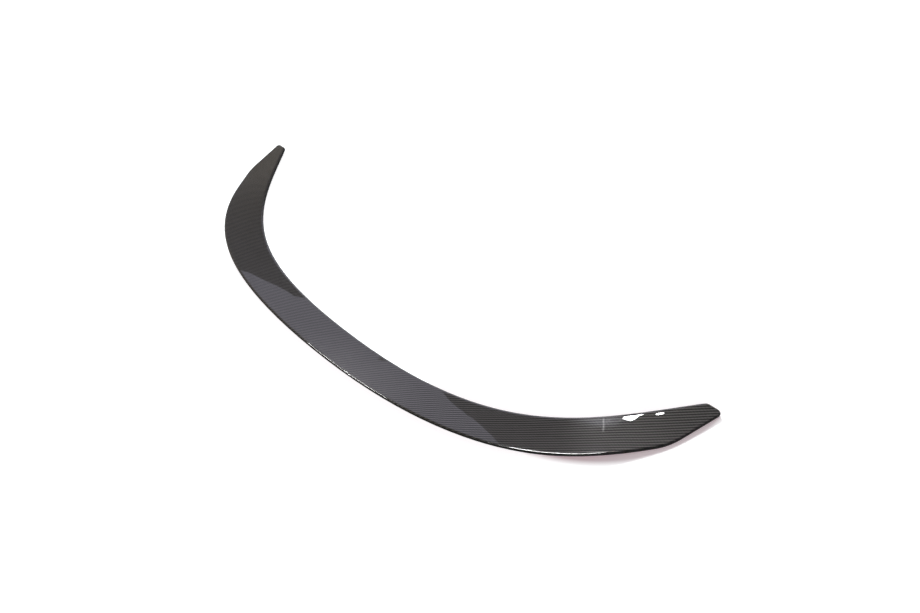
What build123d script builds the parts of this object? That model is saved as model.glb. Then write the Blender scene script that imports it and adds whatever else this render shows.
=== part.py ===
"""Car rear spoiler: a carbon-fibre boot-lid lip and the foam tape that sticks it down.

Millimetres and degrees. X runs across the car, +Y towards its front and +Z up. The part lies as it
rests on a flat floor: on the middle of its leading edge and on the heels of its two wings. The origin
is on that floor, in the middle of the part seen from above.
"""

import os
from math import cos, radians, sin

from build123d import *

# Outline, seen from above
span = 1200.0  # across the outer corners of the two tips, before their rounding
reach = 373.0  # from the middle of the trailing edge forward to those corners
middle_chord = 78.0  # width of the blade at the middle
tip_width = 31.0  # blunt end of each wing
tip_skew = 5.2  # the blunt end to the X axis
tip_cut = 116.0  # oblique cut from each tip back to the heel of the wing
tip_cut_angle = 17.9  # that cut to the Y axis
tail_angle = 54.7  # trailing edge to the X axis at the heel
tail_middle_pull = 390.0  # how far the trailing edge keeps the middle's direction
tail_wing_pull = 157.0  # how far it keeps the heel's direction
nose_angle = 51.4  # straight end of the leading edge to the X axis
nose_straight = 80.0  # length of that straight end
nose_middle_pull = 303.0  # how far the leading edge keeps the middle's direction
nose_wing_pull = 192.0  # how far it keeps the straight end's direction
heel_round = 160.0  # corner of the outline at the heel
tip_outer_round = 7.0  # outer corner of the blunt end
tip_inner_round = 12.0  # its inner corner

# Section, from the trailing edge to the leading edge
tail_rise = 24.0  # underside of the trailing edge at the middle; it comes down to the floor at the heels
tail_fall = 4  # power of the way from the middle to the heel by which it comes down
nose_lift = 7.0  # underside of the leading edge in line with the tips; it is on the floor at the middle
tail_thickness = 4.5  # rear face at the middle
wing_thickness = 6.5  # rear face in line with the tips
nose_thickness = 3.4  # front wall
bevel_width = 4.0  # slope down to the front wall
bevel_drop = 2.0  # height of that slope
top_dish = 0.8  # hollow of the top, halfway between the trailing edge and the bevel

# Rounded edges
crease_round = 6.0  # where the top turns down into the bevel
rim_round = 2.8  # upper rim, all along the outline

# Foam tape
tape_thickness = 1.1
tape_width = 10.0
tape_inset = 5.0  # from the edges of the underside

# Construction
rib_steps = 6  # ribs from the middle to each heel
wing_steps = 3  # ribs past the heel
tail_overlap = 12.0  # how far the ribs stand out behind the outline, which trims them
nose_overlap = 2.0  # how far they stand out in front of it
wing_overlap = 130.0  # how far the wings run on past the heel before the outline trims them
trim_height = 100.0  # more than the height of the part

half_span = span / 2


def heading(angle):
    """Unit direction in plan, turned by this angle from the X axis."""
    return Vector(cos(radians(angle)), sin(radians(angle)))


def both_sides(points):
    """Points of the right half, the first of them in the middle, with their mirror images before them."""
    return [Vector(-point.X, point.Y) for point in points[:0:-1]] + points


# Corners of the outline's right half
tail_middle = Vector(0, -reach / 2)
nose_middle = tail_middle + Vector(0, middle_chord)
tip_outer = Vector(half_span, reach / 2)
tip_inner = tip_outer - heading(tip_skew) * tip_width
heel = tip_outer - heading(90 - tip_cut_angle) * tip_cut
nose_bend = tip_inner - heading(nose_angle) * nose_straight

with BuildLine() as half_outline:
    tail_edge = Bezier(
        tail_middle,
        tail_middle + Vector(tail_middle_pull, 0),
        heel - heading(tail_angle) * tail_wing_pull,
        heel,
    )
    Polyline(heel, tip_outer, tip_inner, nose_bend)
    nose_edge = Bezier(
        nose_bend,
        nose_bend - heading(nose_angle) * nose_wing_pull,
        nose_middle + Vector(nose_middle_pull, 0),
        nose_middle,
    )

with BuildSketch() as outline:
    with BuildLine():
        add(half_outline.line)
        mirror(half_outline.line, about=Plane.YZ)
    make_face()
    corners = ((heel, heel_round), (tip_outer, tip_outer_round), (tip_inner, tip_inner_round))
    for corner, radius in corners:
        for side in (-1, 1):
            place = Vector(side * corner.X, corner.Y)
            fillet(outline.vertices().sort_by_distance(place)[0], radius)

# Ribs of the right half: each stands on the trailing edge, square to it, and reaches the leading edge
nose_line = Edge.make_line(nose_bend, tip_inner + heading(nose_angle) * wing_overlap)


def rib(foot, along):
    """A rib's foot on the trailing edge, its direction and its length."""
    forward = along.rotate(Axis.Z, 90)
    sight = Axis(foot, forward)
    hits = nose_edge.find_intersection_points(sight) + nose_line.find_intersection_points(sight)
    return foot, forward, min((hit - foot).length for hit in hits)


ribs = [rib(tail_edge @ (i / rib_steps), tail_edge % (i / rib_steps)) for i in range(rib_steps + 1)]
for i in range(1, wing_steps + 1):
    ribs.append(rib(heel + heading(tail_angle) * wing_overlap * i / wing_steps, heading(tail_angle)))


def on_line(start, end, place):
    """Point of the line through two points of a section, at this place along the rib."""
    slope = (end[1] - start[1]) / (end[0] - start[0])
    return place, start[1] + slope * (place - start[0])


def draw_rib(foot, forward, chord):
    """Draws a rib's section: along the rib from its foot, and up from the floor."""
    tail_share = min(foot.X / heel.X, 1) ** tail_fall
    thin_share = (foot.X / half_span) ** 2
    nose_share = ((foot + forward * chord).X / half_span) ** 2
    tail_low = (0, tail_rise * (1 - tail_share))
    tail_top = (0, tail_low[1] + tail_thickness + (wing_thickness - tail_thickness) * thin_share)
    nose_low = (chord, nose_lift * nose_share)
    nose_top = (chord, nose_low[1] + nose_thickness)
    crease = (chord - bevel_width, nose_top[1] + bevel_drop)

    def on_top(place):
        share = place / crease[0]
        flat = on_line(tail_top, crease, place)
        return place, flat[1] - 4 * top_dish * share * (1 - share)

    front = chord + nose_overlap
    under = [on_line(tail_low, nose_low, front), on_line(tail_low, nose_low, -tail_overlap)]
    Polyline(crease, on_line(crease, nose_top, front), *under, on_top(-tail_overlap))
    ThreePointArc(on_top(-tail_overlap), on_top(crease[0] / 2), crease)


# The blade: lofted from wing to wing through the ribs, trimmed to the outline, then rounded
tail_rim = Vector(0, tail_middle.Y, tail_rise + tail_thickness)
crease_line = Vector(0, nose_middle.Y - bevel_width, nose_thickness + bevel_drop)

with BuildPart() as spoiler:
    for side, half_ribs in ((-1, ribs[:0:-1]), (1, ribs)):
        for foot, forward, chord in half_ribs:
            facing = Vector(side * forward.X, forward.Y)
            rib_plane = Plane((side * foot.X, foot.Y), x_dir=facing, z_dir=facing.rotate(Axis.Z, -90))
            with BuildSketch(rib_plane):
                with BuildLine():
                    draw_rib(foot, forward, chord)
                make_face()
    loft()
    with BuildSketch(Plane.XY.offset(-trim_height / 2)):
        add(outline.sketch)
    extrude(amount=trim_height, mode=Mode.INTERSECT)
    for place, radius in ((crease_line, crease_round), (tail_rim, rim_round)):
        fillet(spoiler.edges().sort_by_distance(place)[0], radius)
spoiler.part.label = "spoiler"


def tape_path(rib_place):
    """Points along the middle of a tape, one on each rib short of the heels."""
    return both_sides([foot + forward * rib_place(chord) for foot, forward, chord in ribs[:rib_steps]])


def stick_under(path_points):
    """Adds a tape to the open part: a band along the path that follows the blade's underside."""
    with BuildSketch(Plane.XY.offset(-trim_height / 2)) as band:
        with BuildLine() as path:
            Spline(*path_points)
        trace(path.line, line_width=tape_width)
    extrude(band.sketch, amount=trim_height)
    add(spoiler.part.moved(Location((0, 0, -tape_thickness))), mode=Mode.INTERSECT)
    add(spoiler.part, mode=Mode.SUBTRACT)


# The two strips of tape
tape_place = tape_inset + tape_width / 2

with BuildPart() as front_tape:
    stick_under(tape_path(lambda chord: chord - tape_place))
front_tape.part.label = "front_tape"

with BuildPart() as rear_tape:
    stick_under(tape_path(lambda chord: tape_place))
rear_tape.part.label = "rear_tape"

os.makedirs("parts", exist_ok=True)
for piece in (spoiler, front_tape, rear_tape):
    export_step(piece.part, f"parts/{piece.part.label}.step")
    print(piece.part.label, "volume", round(piece.part.volume / 1000, 1), "cm3")
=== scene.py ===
# %% [markdown]
# # A carbon-fibre boot lip
#
# This lesson dresses a car's rear spoiler: one slim lip of carbon fibre that is stuck along the edge of
# a boot lid. Its solids come from the CAD model and are already the right shape, so nothing is remodelled
# here. What makes the real part recognisable is its finish: black twill cloth under a thick clear coat,
# which mirrors the room. The lesson builds that finish, the tape underneath, and a small photo studio.

# %% Load the solids
import math

import bpy
from mathutils import Matrix, Vector

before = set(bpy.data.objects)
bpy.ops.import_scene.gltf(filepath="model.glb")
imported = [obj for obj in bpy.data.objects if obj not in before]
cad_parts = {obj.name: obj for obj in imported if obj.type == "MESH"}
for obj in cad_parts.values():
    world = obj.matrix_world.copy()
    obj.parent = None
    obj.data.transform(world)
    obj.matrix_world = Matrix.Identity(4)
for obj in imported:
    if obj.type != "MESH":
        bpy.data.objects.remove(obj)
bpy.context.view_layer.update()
print("solids:", ", ".join(sorted(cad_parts)))

# %% [markdown]
# ## Colours and nodes
#
# Colours are easiest to write as they look on a screen, as hex values. Blender's shaders work with linear
# light, so one function turns the first into the second. A second one adds a shader node, sets it up and
# links it in one line, because a woven finish takes many nodes. A third one starts an empty material.
#
# An input goes by its name, or by its number where several have the same name, as in the Math nodes. A Mix
# node has its factor at 0 and a pair of inputs for each kind of value: 2 and 3 for numbers, 4 and 5 for
# vectors, 6 and 7 for colours.

# %% Three helpers
MM = 0.001  # metres


def linear(hex_colour):
    """Turns a screen colour such as #2b2c2e into the linear colour that a shader takes."""
    channels = [int(hex_colour[i:i + 2], 16) / 255 for i in (1, 3, 5)]
    return [c / 12.92 if c < 0.04045 else ((c + 0.055) / 1.055) ** 2.4 for c in channels] + [1.0]


def put(tree, kind, inputs=None, **settings):
    """Adds a node: settings are its options, inputs are values, or sockets to link from."""
    made = tree.nodes.new(kind)
    for name, value in settings.items():
        setattr(made, name, value)
    for name, value in (inputs or {}).items():
        if isinstance(value, bpy.types.NodeSocket):
            tree.links.new(value, made.inputs[name])
        else:
            made.inputs[name].default_value = value
    return made


def new_material(name):
    """An empty material and its node tree."""
    material = bpy.data.materials.new(name)
    material.use_nodes = True
    material.node_tree.nodes.clear()
    return material, material.node_tree


print("mid grey is", round(linear("#808080")[0], 3), "in linear light")

# %% [markdown]
# ## The carbon cloth
#
# Carbon fibre is woven from flat ribbons of fibre, called tows. In a two-by-two twill each ribbon passes
# over two others and then under two, and every row starts one ribbon further on. The floats line up in
# diagonal stripes. An image could show that, but a pattern worked out from the part's own coordinates
# stays sharp at any distance and keeps its true size, so the weave is drawn with arithmetic nodes.
#
# First the coordinates are counted in ribbons. The cloth lies flat over the lip, with its ribbons along
# X and Y, and it is never laid perfectly straight, so a slow noise makes the ribbons wander.

# %% Count the ribbons
TOW_WIDTH = 1.66 * MM  # six ribbons to the centimetre
WANDER = 0.35  # how far a ribbon strays, in ribbons
WANDER_SIZE = 60 * MM  # from one stray to the next
NOISE_MIDDLE = (0.5, 0.5, 0.5)

carbon, tree = new_material("Twill_carbon_fibre_clear_coated")
place = put(tree, "ShaderNodeTexCoord").outputs["Object"]
slow_noise = put(tree, "ShaderNodeTexNoise", {"Vector": place, "Scale": 1 / WANDER_SIZE, "Detail": 1.0})
noise = slow_noise.outputs["Color"]
stray = put(tree, "ShaderNodeVectorMath", {0: noise, 1: NOISE_MIDDLE}, operation="SUBTRACT")
stray = put(tree, "ShaderNodeVectorMath", {0: stray.outputs[0], "Scale": 2 * WANDER}, operation="SCALE")
counted = put(tree, "ShaderNodeVectorMath", {0: place, "Scale": 1 / TOW_WIDTH}, operation="SCALE")
counted = put(tree, "ShaderNodeVectorMath", {0: counted.outputs[0], 1: stray.outputs[0]}, operation="ADD")
ribbons = put(tree, "ShaderNodeSeparateXYZ", {"Vector": counted.outputs[0]})
across, along = ribbons.outputs["X"], ribbons.outputs["Y"]
column = put(tree, "ShaderNodeMath", {0: across}, operation="FLOOR").outputs[0]
row = put(tree, "ShaderNodeMath", {0: along}, operation="FLOOR").outputs[0]

# %% [markdown]
# Now the twill itself. Column minus row, counted in fours, says which ribbon is on top: for 0 and 1 it is
# the warp, which runs along Y, and for 2 and 3 the weft, which runs along X. Each float is a little
# cushion, a half wave along it and another across it: it is highest in the middle and dives under its
# neighbours at its ends.

# %% Weave the twill
OVER = 2.0  # ribbons that each float passes over
REPEAT = 2 * OVER

step = put(tree, "ShaderNodeMath", {0: column, 1: row}, operation="SUBTRACT").outputs[0]
step = put(tree, "ShaderNodeMath", {0: step, 1: REPEAT}, operation="FLOORED_MODULO").outputs[0]
warp_on_top = put(tree, "ShaderNodeMath", {0: step, 1: OVER}, operation="LESS_THAN").outputs[0]

# The length is counted along each float, from 0 at one end to OVER at the other
cushions = []
for ahead, behind, start, beside in ((column, along, 1.0, across), (across, row, OVER, along)):
    length = put(tree, "ShaderNodeMath", {0: ahead, 1: behind}, operation="SUBTRACT").outputs[0]
    length = put(tree, "ShaderNodeMath", {0: length, 1: start}, operation="ADD").outputs[0]
    length = put(tree, "ShaderNodeMath", {0: length, 1: REPEAT}, operation="FLOORED_MODULO").outputs[0]
    length_turn = put(tree, "ShaderNodeMath", {0: length, 1: math.pi / OVER}, operation="MULTIPLY").outputs[0]
    length_arch = put(tree, "ShaderNodeMath", {0: length_turn}, operation="SINE").outputs[0]
    width = put(tree, "ShaderNodeMath", {0: beside}, operation="FRACT").outputs[0]
    width_turn = put(tree, "ShaderNodeMath", {0: width, 1: math.pi}, operation="MULTIPLY").outputs[0]
    width_arch = put(tree, "ShaderNodeMath", {0: width_turn}, operation="SINE").outputs[0]
    cushion = put(tree, "ShaderNodeMath", {0: length_arch, 1: width_arch}, operation="MULTIPLY").outputs[0]
    cushions.append(cushion)
warp_cushion, weft_cushion = cushions
height = put(tree, "ShaderNodeMix", {0: warp_on_top, 2: weft_cushion, 3: warp_cushion}).outputs[0]
print("one stripe of the twill is", round(REPEAT * TOW_WIDTH / MM / math.sqrt(2), 2), "mm wide")

# %% [markdown]
# Carbon fibres are black and shine like fine wires: light spreads to the sides of a fibre and hardly along
# it. From any one place the warp looks pale and the weft dark, or the other way round, and that is how the
# eye knows carbon cloth. An anisotropic shader does the same. Its tangent is the way the light spreads, so
# it lies across the ribbon that is on top. The warp is also painted a paler grey than the weft, a painted
# sheen that stands for that shine. The gaps between the floats are painted darker, a painted shade.

# %% Let the fibres shine to their sides, over a painted sheen and a painted shade
# painted sheen: the warp is painted paler than the weft, for the shine of its fibres
WARP_PAINTED_SHEEN_GREY = linear("#656261")
WEFT_GREY = linear("#282727")
ACROSS_WARP = (1, 0, 0)
ACROSS_WEFT = (0, 1, 0)
GAP_SHADE = 0.6  # painted shade: how dark a gap is painted beside the middle of a float
CLOTH_DEPTH = 0.2 * MM  # from a gap to the top of a float
CLOTH_RELIEF = 0.5  # how much of that depth shows

float_grey_painted_sheen = put(tree, "ShaderNodeMix", {0: warp_on_top, 6: WEFT_GREY, 7: WARP_PAINTED_SHEEN_GREY}, data_type="RGBA")
# painted shade: the cloth is painted darker where the floats dive into the gaps
shade = put(tree, "ShaderNodeMapRange", {"Value": height, "To Min": GAP_SHADE, "To Max": 1.0}).outputs[0]
cloth_grey_painted_sheen_and_shade = put(tree, "ShaderNodeVectorMath", {0: float_grey_painted_sheen.outputs[2], "Scale": shade}, operation="SCALE")
spread = put(tree, "ShaderNodeMix", {0: warp_on_top, 4: ACROSS_WEFT, 5: ACROSS_WARP}, data_type="VECTOR")
cloth_bump = put(tree, "ShaderNodeBump", {
    "Height": height,
    "Distance": CLOTH_DEPTH,
    "Strength": CLOTH_RELIEF,
})
print("warp and weft differ by", round(WARP_PAINTED_SHEEN_GREY[0] / WEFT_GREY[0], 1), "times")

# %% [markdown]
# ## Lacquer and bare resin
#
# Over the cloth lies the clear coat, a second glossy layer that is as smooth as glass and mirrors the
# room. The cloth shows on the broad top. At the rims it gives way to black, because the resin is thick
# there, and the walls and the underside are as they came out of the mould: black resin with a dull skin.
# All this is one moulding, so one material holds it, and the way a face points tells where it is.

# %% Tell the top from the rims and the walls
CLOTH_TILT = (38.0, 28.0)  # degrees from level: bare black from the first, cloth up to the second
LACQUER_TILT = (62.0, 40.0)  # the same for the lacquer

facing = put(tree, "ShaderNodeNewGeometry").outputs["Normal"]
upward = put(tree, "ShaderNodeSeparateXYZ", {"Vector": facing}).outputs["Z"]
cloth, lacquer = [
    put(tree, "ShaderNodeMapRange", {
        "Value": upward,
        "From Min": math.cos(math.radians(bare)),
        "From Max": math.cos(math.radians(full)),
    }).outputs[0]
    for bare, full in (CLOTH_TILT, LACQUER_TILT)
]
print("cloth up to", CLOTH_TILT[1], "degrees from level, lacquer up to", LACQUER_TILT[1])

# %% [markdown]
# The lacquer could be a thin shell of its own, but the shader has a coat built in, which never parts from
# what it covers. It gives the eye sharp, weak reflections. The cloth under it is half rough and slightly
# metallic, as carbon is, and gives a soft shine that is drawn out to one side.

# %% Clear coat over the cloth
RESIN_BLACK = linear("#121112")
COAT_IOR = 1.5

# The cloth's grey carries the painted sheen and the painted shade of the gaps; the rims get black resin.
under_coat_with_painted_light = put(tree, "ShaderNodeMix", {
    0: cloth,
    6: RESIN_BLACK,
    7: cloth_grey_painted_sheen_and_shade.outputs[0],
}, data_type="RGBA")
lacquered = put(tree, "ShaderNodeBsdfPrincipled", {
    "Base Color": under_coat_with_painted_light.outputs[2],
    "Metallic": 0.3,
    "Roughness": 0.5,
    "Anisotropic": 0.9,
    "Tangent": spread.outputs[1],
    "Normal": cloth_bump.outputs[0],
    "Coat Weight": 1.0,
    "Coat Roughness": 0.0,
    "Coat IOR": COAT_IOR,
})
print("seen straight on, the coat mirrors", round(100 * ((COAT_IOR - 1) / (COAT_IOR + 1)) ** 2), "percent")

# %% [markdown]
# Epoxy resin takes over the fine grain of the mould, so where it is bare it gives the eye a black without
# reflections. The real grain is too fine to show, so it is drawn about a millimetre coarse.

# %% Dull resin from the mould
GRAIN_SIZE = 1 / 900  # metres
GRAIN_DEPTH = 0.05 * MM
GRAIN_RELIEF = 0.4  # how much of that depth shows

grain = put(tree, "ShaderNodeTexNoise", {"Vector": place, "Scale": 1 / GRAIN_SIZE, "Detail": 3.0})
resin_bump = put(tree, "ShaderNodeBump", {
    "Height": grain.outputs[0],
    "Distance": GRAIN_DEPTH,
    "Strength": GRAIN_RELIEF,
})
resin = put(tree, "ShaderNodeBsdfPrincipled", {
    "Base Color": RESIN_BLACK,
    "Roughness": 0.6,
    "Specular IOR Level": 0.15,
    "Normal": resin_bump.outputs[0],
})
both = put(tree, "ShaderNodeMixShader", {0: lacquer, 1: resin.outputs[0], 2: lacquered.outputs[0]})
put(tree, "ShaderNodeOutputMaterial", {"Surface": both.outputs[0]})
print("carbon material:", len(tree.nodes), "nodes")

# %% [markdown]
# ## The tape
#
# Such a lip is held by strips of double-sided foam tape. They are delivered with the red film that keeps
# the glue clean, so from below they are red and slightly shiny, and at their sides the grey foam shows.
# Film and foam could be two solids, but they are one strip, so the way a face points tells them apart.

# %% Colours of the film and the foam
FILM_RED = linear("#b3202a")
FILM_CREASE_SHADE_AND_LIGHT = (0.85, 1.1)  # painted shade and light: the film is darkest in the low creases and palest on the high ones
FILM_FACES = -0.5  # a face that points further down than this is the film
CREASE_SIZE = 1 / 90  # metres
FOAM_GREY = linear("#4a4b4d")
FOAM_TINT = (0.7, 1.2)  # darkest and palest place of a cell
CELL_SIZE = 0.4 * MM

tape, tree = new_material("Foam_tape_red_liner")
place = put(tree, "ShaderNodeTexCoord").outputs["Object"]
facing = put(tree, "ShaderNodeNewGeometry").outputs["Normal"]
upward = put(tree, "ShaderNodeSeparateXYZ", {"Vector": facing}).outputs["Z"]
is_film = put(tree, "ShaderNodeMath", {0: upward, 1: FILM_FACES}, operation="LESS_THAN").outputs[0]
film_noise = put(tree, "ShaderNodeTexNoise", {"Vector": place, "Scale": 1 / CREASE_SIZE, "Detail": 2.0})
creases = film_noise.outputs[0]
cells = put(tree, "ShaderNodeTexVoronoi", {"Vector": place, "Scale": 1 / CELL_SIZE}).outputs["Distance"]
tinted = []
# The film is tinted by its crease height: painted shade in the low creases, painted light on the high ones.
# The foam is tinted by its cells.
for colour, pattern, (low, high) in ((FILM_RED, creases, FILM_CREASE_SHADE_AND_LIGHT), (FOAM_GREY, cells, FOAM_TINT)):
    tint = put(tree, "ShaderNodeMapRange", {"Value": pattern, "To Min": low, "To Max": high}).outputs[0]
    scaled = put(tree, "ShaderNodeVectorMath", {0: colour[:3], "Scale": tint}, operation="SCALE")
    tinted.append(scaled.outputs[0])
film_red_crease_painted, foam_grey = tinted
print("foam cells:", round(CELL_SIZE / MM, 1), "mm, creases of the film:", round(CREASE_SIZE / MM), "mm")

# %% [markdown]
# The film is smooth but never lies quite flat, so it gives the eye a broken shine. The foam's cut sides
# are as dull as chalk.

# %% Foam tape with its red film
FILM_ROUGHNESS = 0.32
FOAM_ROUGHNESS = 0.9
CREASE_DEPTH = 0.4 * MM
CREASE_RELIEF = 0.5  # how much of that depth shows

tape_colour = put(tree, "ShaderNodeMix", {0: is_film, 6: foam_grey, 7: film_red_crease_painted}, data_type="RGBA")
tape_roughness = put(tree, "ShaderNodeMapRange", {
    "Value": is_film,
    "To Min": FOAM_ROUGHNESS,
    "To Max": FILM_ROUGHNESS,
})
wrinkle = put(tree, "ShaderNodeBump", {
    "Height": creases,
    "Distance": CREASE_DEPTH,
    "Strength": CREASE_RELIEF,
})
strip = put(tree, "ShaderNodeBsdfPrincipled", {
    "Base Color": tape_colour.outputs[2],
    "Roughness": tape_roughness.outputs[0],
    "Normal": wrinkle.outputs[0],
})
put(tree, "ShaderNodeOutputMaterial", {"Surface": strip.outputs[0]})
print("tape material:", len(tree.nodes), "nodes")

# %% [markdown]
# ## Dressing the solids
#
# The solids arrive with a plain finish. The lip gets the carbon and both strips get the tape. Nothing else
# about them changes: their meshes are the measured shape of the part.

# %% Put the finishes on the solids
for name, material in (("spoiler", carbon), ("front_tape", tape), ("rear_tape", tape)):
    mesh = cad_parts[name].data
    mesh.materials.clear()
    mesh.materials.append(material)
    print(name, "has", len(mesh.polygons), "triangles")

# %% [markdown]
# ## The floor
#
# The floor is a wide sheet of white paper. A camera set for a black part burns such paper out to plain
# white, and only beside the right wing a soft pink shadow is left. So the paper glows for the camera and
# for reflections. In a wide circle that ends beside the right wing it glows less, and there the rest of
# its white is the light of a lamp that the part shades.

# %% How much the paper glows
SHADE_GLOW = (0.36, 0.28, 0.30, 1.0)  # light in the circle, where 1 is white: no shadow takes it away, and its pink paints the shadow pink
OPEN_GLOW = (0.90, 0.89, 0.90, 1.0)  # light everywhere else
SHADE_PLACE = (0.289, 0.210, 0.0)  # middle of the circle
SHADE_REACH = (0.309, 0.320)  # metres from its middle: the glow rises from the first to the second

paper, tree = new_material("White_paper")
place = put(tree, "ShaderNodeTexCoord").outputs["Object"]
apart = put(tree, "ShaderNodeVectorMath", {0: place, 1: SHADE_PLACE}, operation="DISTANCE")
open_paper = put(tree, "ShaderNodeMapRange", {
    "Value": apart.outputs["Value"],
    "From Min": SHADE_REACH[0],
    "From Max": SHADE_REACH[1],
}).outputs[0]
glow_colour = put(tree, "ShaderNodeMix", {0: open_paper, 6: SHADE_GLOW, 7: OPEN_GLOW}, data_type="RGBA")
ray = put(tree, "ShaderNodeLightPath").outputs
seen = ray["Is Camera Ray"]
for other in ("Is Glossy Ray", "Is Transmission Ray"):
    seen = put(tree, "ShaderNodeMath", {0: seen, 1: ray[other]}, operation="MAXIMUM").outputs[0]
glow = put(tree, "ShaderNodeEmission", {"Color": glow_colour.outputs[2], "Strength": seen})
print("the glow takes", len(tree.nodes), "nodes")

# %% [markdown]
# Uncoated paper scatters light evenly and gives the eye no shine at all, so a plain diffuse shader is
# enough, and the glow is added to it. From below the paper is clear, so that the underside of the lip can
# be looked at. One big plane is all the shape that a floor needs.

# %% White paper floor
# The paper scatters a little cyan against the pink glow: where the lamp reaches it the two add up to white,
# and in shadow the pink glow is left, a painted pink on the shadow.
PAPER_WHITE = (0.80, 0.86, 0.85, 1.0)  # share of the red, green and blue light that it scatters
FLOOR_SIDE = 16.0  # metres

lit = put(tree, "ShaderNodeBsdfDiffuse", {"Color": PAPER_WHITE})
from_above = put(tree, "ShaderNodeAddShader", {0: lit.outputs[0], 1: glow.outputs[0]})
from_below = put(tree, "ShaderNodeBsdfTransparent")
backfacing = put(tree, "ShaderNodeNewGeometry").outputs["Backfacing"]
sides = put(tree, "ShaderNodeMixShader", {0: backfacing, 1: from_above.outputs[0], 2: from_below.outputs[0]})
put(tree, "ShaderNodeOutputMaterial", {"Surface": sides.outputs[0]})
bpy.ops.object.select_all(action="DESELECT")
bpy.ops.mesh.primitive_plane_add(size=FLOOR_SIDE, location=(0, 0, 0))
floor = bpy.context.object
floor.name = "floor"
floor.data.materials.append(paper)
print("floor:", tuple(round(side, 1) for side in floor.dimensions), "m")

# %% [markdown]
# ## The room
#
# The room is dim, with two sheets of white paper hung side by side ahead of the lip. The middle of the
# blade leans forward and mirrors the paper. The wings lie flatter and mirror the room above it, and the
# top edges of the sheets are the sharp borders that cross the blade. Real sheets could hang there, but a
# world can hold such a room without any objects: arithmetic on the direction says what a ray meets.

# %% Two sheets of paper ahead
LEFT_TOP = (-0.188, 0.526, 0.0)  # how fast the left sheet's top edge rises along X and Y
RIGHT_TOP = (0.177, 0.758, 0.0)  # the same for the right sheet
SHEET_JOIN = (0.797, 0.604, 0.0)  # square to the join of the sheets, towards the right one
SHEET_END = (0.955, 0.296, 0.0)  # square to the right sheet's far end

world = bpy.data.worlds.new("Studio")
bpy.context.scene.world = world
world.use_nodes = True
tree = world.node_tree
tree.nodes.clear()
direction = put(tree, "ShaderNodeTexCoord").outputs["Generated"]
upward = put(tree, "ShaderNodeSeparateXYZ", {"Vector": direction}).outputs["Z"]
past_join, past_end = [
    put(tree, "ShaderNodeVectorMath", {0: direction, 1: square}, operation="DOT_PRODUCT").outputs["Value"]
    for square in (SHEET_JOIN, SHEET_END)
]
on_right = put(tree, "ShaderNodeMath", {0: past_join, 1: 0.0}, operation="GREATER_THAN").outputs[0]
before_end = put(tree, "ShaderNodeMath", {0: past_end, 1: 0.0}, operation="LESS_THAN").outputs[0]
rise = put(tree, "ShaderNodeMix", {0: on_right, 4: LEFT_TOP, 5: RIGHT_TOP}, data_type="VECTOR").outputs[1]
top = put(tree, "ShaderNodeVectorMath", {0: direction, 1: rise}, operation="DOT_PRODUCT").outputs["Value"]
below_top = put(tree, "ShaderNodeMath", {0: upward, 1: top}, operation="LESS_THAN").outputs[0]
on_sheet = put(tree, "ShaderNodeMath", {0: below_top, 1: before_end}, operation="MULTIPLY").outputs[0]
print("the sheets take", len(tree.nodes), "nodes")

# %% [markdown]
# Above the sheets the room is nearly black. To the left and behind it grows brighter and warmer, which the
# left wing mirrors. Over the sheets hangs a small window without a sharp edge, whose soft light lies on the
# right wing. Its long and short sides are measured apart, so it is an ellipse that fades outwards.

# %% A brighter left side and a soft window
ROOM_COLOUR = (0.080, 0.078, 0.074, 1.0)  # light, where 1 is white
LEFT_COLOUR = (0.36, 0.32, 0.25, 1.0)
LEFT_WAY = (-0.741, -0.672, 0.0)
LEFT_RISE = (0.05, 0.40)  # how far to the left the room starts and stops growing brighter
WINDOW_COLOUR = (2.3, 2.3, 2.55, 1.0)
WINDOW_WAY = Vector((-0.235, 0.552, 0.80)).normalized()
WINDOW_ALONG = Vector((0.78, -0.35, 0.52)).normalized()  # its long way
WINDOW_SIDES = (0.20, 0.08)  # half its length and half its height, as tangents
WINDOW_CORE = 0.3  # how far out it keeps its full light, as a share of those sides

leftward = put(tree, "ShaderNodeVectorMath", {0: direction, 1: LEFT_WAY}, operation="DOT_PRODUCT")
on_left = put(tree, "ShaderNodeMapRange", {
    "Value": leftward.outputs["Value"],
    "From Min": LEFT_RISE[0],
    "From Max": LEFT_RISE[1],
}).outputs[0]
room = put(tree, "ShaderNodeMix", {0: on_left, 6: ROOM_COLOUR, 7: LEFT_COLOUR}, data_type="RGBA").outputs[2]

reach = []
middle = []
for way, side in zip((WINDOW_ALONG, WINDOW_WAY.cross(WINDOW_ALONG)), WINDOW_SIDES):
    offset = put(tree, "ShaderNodeVectorMath", {0: direction, 1: way / side}, operation="DOT_PRODUCT")
    reach.append(offset.outputs["Value"])
    middle.append(WINDOW_WAY.dot(way) / side)
spot = put(tree, "ShaderNodeCombineXYZ", {"X": reach[0], "Y": reach[1]}).outputs[0]
apart = put(tree, "ShaderNodeVectorMath", {0: spot, 1: (*middle, 0.0)}, operation="DISTANCE")
in_window = put(tree, "ShaderNodeMapRange", {
    "Value": apart.outputs["Value"],
    "From Min": 1.0,
    "From Max": WINDOW_CORE,
}, interpolation_type="SMOOTHSTEP").outputs[0]
room = put(tree, "ShaderNodeMix", {0: in_window, 6: room, 7: WINDOW_COLOUR}, data_type="RGBA").outputs[2]
print("window", round(math.degrees(math.asin(WINDOW_WAY.z))), "degrees up")

# %% [markdown]
# Only reflections meet this room. All other light from around is even and soft, and the camera sees plain
# white behind the part. A Light Path node tells these rays apart.

# %% What a ray meets
SHEET_COLOUR = (0.86, 0.84, 1.02, 1.0)  # light, where 1 is white
SOFT_LIGHT = (0.25, 0.25, 0.25, 1.0)
PLAIN_WHITE = (1.0, 1.0, 1.0, 1.0)

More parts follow.
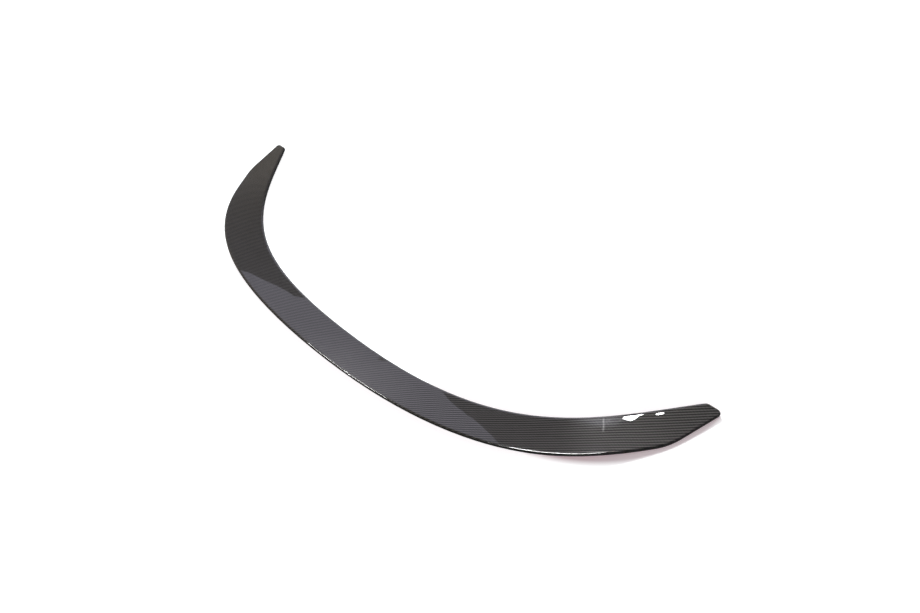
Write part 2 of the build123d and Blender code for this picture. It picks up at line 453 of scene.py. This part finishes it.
mirrored = put(tree, "ShaderNodeMix", {0: on_sheet, 6: room, 7: SHEET_COLOUR}, data_type="RGBA").outputs[2]
ray = put(tree, "ShaderNodeLightPath").outputs
glossy = ray["Is Glossy Ray"]
met = put(tree, "ShaderNodeMix", {0: glossy, 6: SOFT_LIGHT, 7: mirrored}, data_type="RGBA").outputs[2]
looking = ray["Is Camera Ray"]
met = put(tree, "ShaderNodeMix", {0: looking, 6: met, 7: PLAIN_WHITE}, data_type="RGBA").outputs[2]
around = put(tree, "ShaderNodeBackground", {"Color": met})
put(tree, "ShaderNodeOutputWorld", {"Surface": around.outputs[0]})
print("the room has", len(tree.nodes), "nodes")

# %% [markdown]
# ## The lamps
#
# A lamp from ahead on the left lights the paper and throws the shadow. A softbox would light a wide floor
# unevenly. A sun lamp lights it evenly, and its angle sets how soft the shadow's edge is. The lacquer
# doesn't mirror it.

# %% Key lamp
KEY_FROM = Vector((-0.696, 0.413, 0.588))
KEY_STRENGTH = 3.25
KEY_SOFTNESS = math.radians(14.0)

key_lamp = bpy.data.lights.new("key_from_ahead", "SUN")
key_lamp.energy = KEY_STRENGTH
key_lamp.angle = KEY_SOFTNESS
key = bpy.data.objects.new("key_from_ahead", key_lamp)
bpy.context.collection.objects.link(key)
key.rotation_euler = KEY_FROM.to_track_quat("Z", "Y").to_euler()
key.visible_glossy = False
print("key lamp", round(math.degrees(math.asin(KEY_FROM.normalized().z))), "degrees up")

# %% [markdown]
# A glossy black part is drawn by what it mirrors. Near its right tip the lacquer mirrors a bright lens, a
# smaller one beside it and a thin upright frame. Each is a softbox that hangs where the lacquer mirrors it
# at the right spot, so it is placed by its direction from that spot, and it shows only as a reflection.
# A grid on a softbox keeps its light in a narrow cone, so that the rest of the blade stays black.

# %% Softboxes and their grids
def softbox(name, spot, towards, along, distance, sides, radiance, shape="RECTANGLE"):
    """A lamp in this direction from a spot on the part. It faces the spot, and its first side runs along."""
    lamp = bpy.data.lights.new(name, "AREA")
    lamp.shape = shape
    lamp.size, lamp.size_y = sides
    area = sides[0] * sides[1] * (math.pi / 4 if shape == "ELLIPSE" else 1)
    lamp.energy = radiance * math.pi * area
    away = Vector(towards).normalized()
    side = Vector(along)
    side = (side - away * side.dot(away)).normalized()
    turn = Matrix((side, away.cross(side), away)).transposed().to_4x4()
    holder = bpy.data.objects.new(name, lamp)
    bpy.context.collection.objects.link(holder)
    holder.matrix_world = Matrix.Translation(Vector(spot) + away * distance) @ turn
    holder.visible_diffuse = False
    holder.visible_camera = False
    print(name, "hangs at", [round(v, 2) for v in holder.matrix_world.translation])
    return lamp


def fit_grid(lamp, angle):
    """Narrows a softbox's light to a cone of this angle, as bright along its axis as before."""
    lamp.spread = angle
    lamp.energy *= math.pi * (angle / 2) ** 2 / 3


LENS_GRID = math.radians(18.0)

big_lens = softbox(
    "lens_over_right_wing",
    spot=(0.497, 0.078, 0.010),
    towards=(-0.0530, 0.4935, 0.8745),
    along=(0.847, -0.265, 0.461),
    distance=1.0,
    sides=(0.215, 0.025),
    radiance=36.0,
    shape="ELLIPSE",
)
small_lens = softbox(
    "small_lens_over_right_wing",
    spot=(0.523, 0.113, 0.010),
    towards=(0.001, 0.467, 0.884),
    along=(0.7, 0.7, -0.37),
    distance=1.0,
    sides=(0.028, 0.0028),
    radiance=30.0,
    shape="ELLIPSE",
)
for lamp in (big_lens, small_lens):
    fit_grid(lamp, LENS_GRID)
softbox(
    "window_frame",
    spot=(0.465, 0.030, 0.010),
    towards=(-0.2245, 0.605, 0.764),
    along=(0.0, 0.069, -0.056),
    distance=3.0,
    sides=(0.26, 0.022),
    radiance=3.5,
)

# %% [markdown]
# The rear rim carries a bright line on the right wing and a fainter one near the middle. The rim turns as
# it goes round, and one small lamp would show only in a short stretch of it. So a row of softboxes hangs
# close above each line, one over each stretch, each with its own spot on the rim and direction from there.

# %% Softboxes along the rear rim
RIM_ROWS = {
    "right": {
        "stretches": (
            ((0.404, -0.094, 0.0220), (0.04, 0.10, 0.99)),
            ((0.431, -0.074, 0.0205), (0.13, 0.12, 0.98)),
            ((0.457, -0.052, 0.0188), (0.20, 0.17, 0.96)),
            ((0.485, -0.025, 0.0162), (0.29, 0.22, 0.93)),
        ),
        "along": (0.25, 0.12, -0.06),
        "radiance": 44.0,
    },
    "middle": {
        "stretches": (
            ((0.030, -0.184, 0.0272), (-0.59, 0.00, 0.81)),
            ((0.076, -0.183, 0.0272), (-0.53, 0.00, 0.85)),
            ((0.118, -0.179, 0.0273), (-0.50, 0.02, 0.865)),
            ((0.154, -0.176, 0.0272), (-0.42, -0.02, 0.905)),
        ),
        "along": (0.98, 0.00, 0.15),
        "radiance": 20.0,
    },
}
RIM_DISTANCE = 0.3  # metres
RIM_SIDES = (0.062, 0.042)
RIM_GRID = math.radians(30.0)

for rim, rim_row in RIM_ROWS.items():
    for number, (rim_spot, rim_way) in enumerate(rim_row["stretches"], 1):
        lamp = softbox(
            f"{rim}_rim_{number}",
            spot=rim_spot,
            towards=rim_way,
            along=rim_row["along"],
            distance=RIM_DISTANCE,
            sides=RIM_SIDES,
            radiance=rim_row["radiance"],
        )
        fit_grid(lamp, RIM_GRID)

# %% [markdown]
# A bare bulb has no size worth speaking of, so it never shows in the smooth lacquer, but the fibres below
# it catch its light. A spotlight ahead on the left picks out the ribbons that run along Y on the outer
# right wing, and leaves the others dark. That is why the stripes stand out most there.

# %% Spotlight on the right wing's fibres
GLINT_SPOT = Vector((0.565, 0.10, 0.01))
GLINT_FROM = Vector((-0.60, 0.60, 0.53))
GLINT_DISTANCE = 2.5  # metres
GLINT_POWER = 90.0  # watts
GLINT_CONE = math.radians(9.0)
GLINT_EDGE = 0.7  # how much of the cone is a soft edge

glint_lamp = bpy.data.lights.new("glint_on_right_wing", "SPOT")
glint_lamp.energy = GLINT_POWER
glint_lamp.shadow_soft_size = 0.0
glint_lamp.spot_size = GLINT_CONE
glint_lamp.spot_blend = GLINT_EDGE
glint = bpy.data.objects.new("glint_on_right_wing", glint_lamp)
bpy.context.collection.objects.link(glint)
glint.location = GLINT_SPOT + GLINT_FROM * GLINT_DISTANCE
glint.rotation_euler = GLINT_FROM.to_track_quat("Z", "Y").to_euler()
glint.visible_diffuse = False
print("glint lamp at", [round(v, 2) for v in glint.location])

# %% [markdown]
# ## The camera
#
# The photograph looks down on the lip from behind its right-hand side. Its strong perspective gives the
# lens: about as wide as a telephone's. A focal length in pixels is easy to measure in a picture, and the
# picture's width turns it into millimetres.

# %% Camera
IMAGE_WIDTH = 920  # pixels
FOCAL_PIXELS = 624.0
SENSOR_WIDTH = 36.0  # millimetres
AZIMUTH = math.radians(42.19)  # round to the right from straight behind
ELEVATION = math.radians(46.46)
DISTANCE = 1.196  # metres
AIM = Vector((0.1140, 0.0797, 0.0))

back = Vector((
    math.sin(AZIMUTH) * math.cos(ELEVATION),
    -math.cos(AZIMUTH) * math.cos(ELEVATION),
    math.sin(ELEVATION),
))
optics = bpy.data.cameras.new("camera")
optics.sensor_width = SENSOR_WIDTH
optics.lens = FOCAL_PIXELS / IMAGE_WIDTH * SENSOR_WIDTH
camera = bpy.data.objects.new("camera", optics)
bpy.context.collection.objects.link(camera)
camera.location = AIM + back * DISTANCE
camera.rotation_euler = back.to_track_quat("Z", "Y").to_euler()
bpy.context.scene.camera = camera
bpy.context.scene.view_settings.view_transform = "Standard"
print("lens", round(optics.lens, 1), "mm, camera at", [round(v, 3) for v in camera.location])
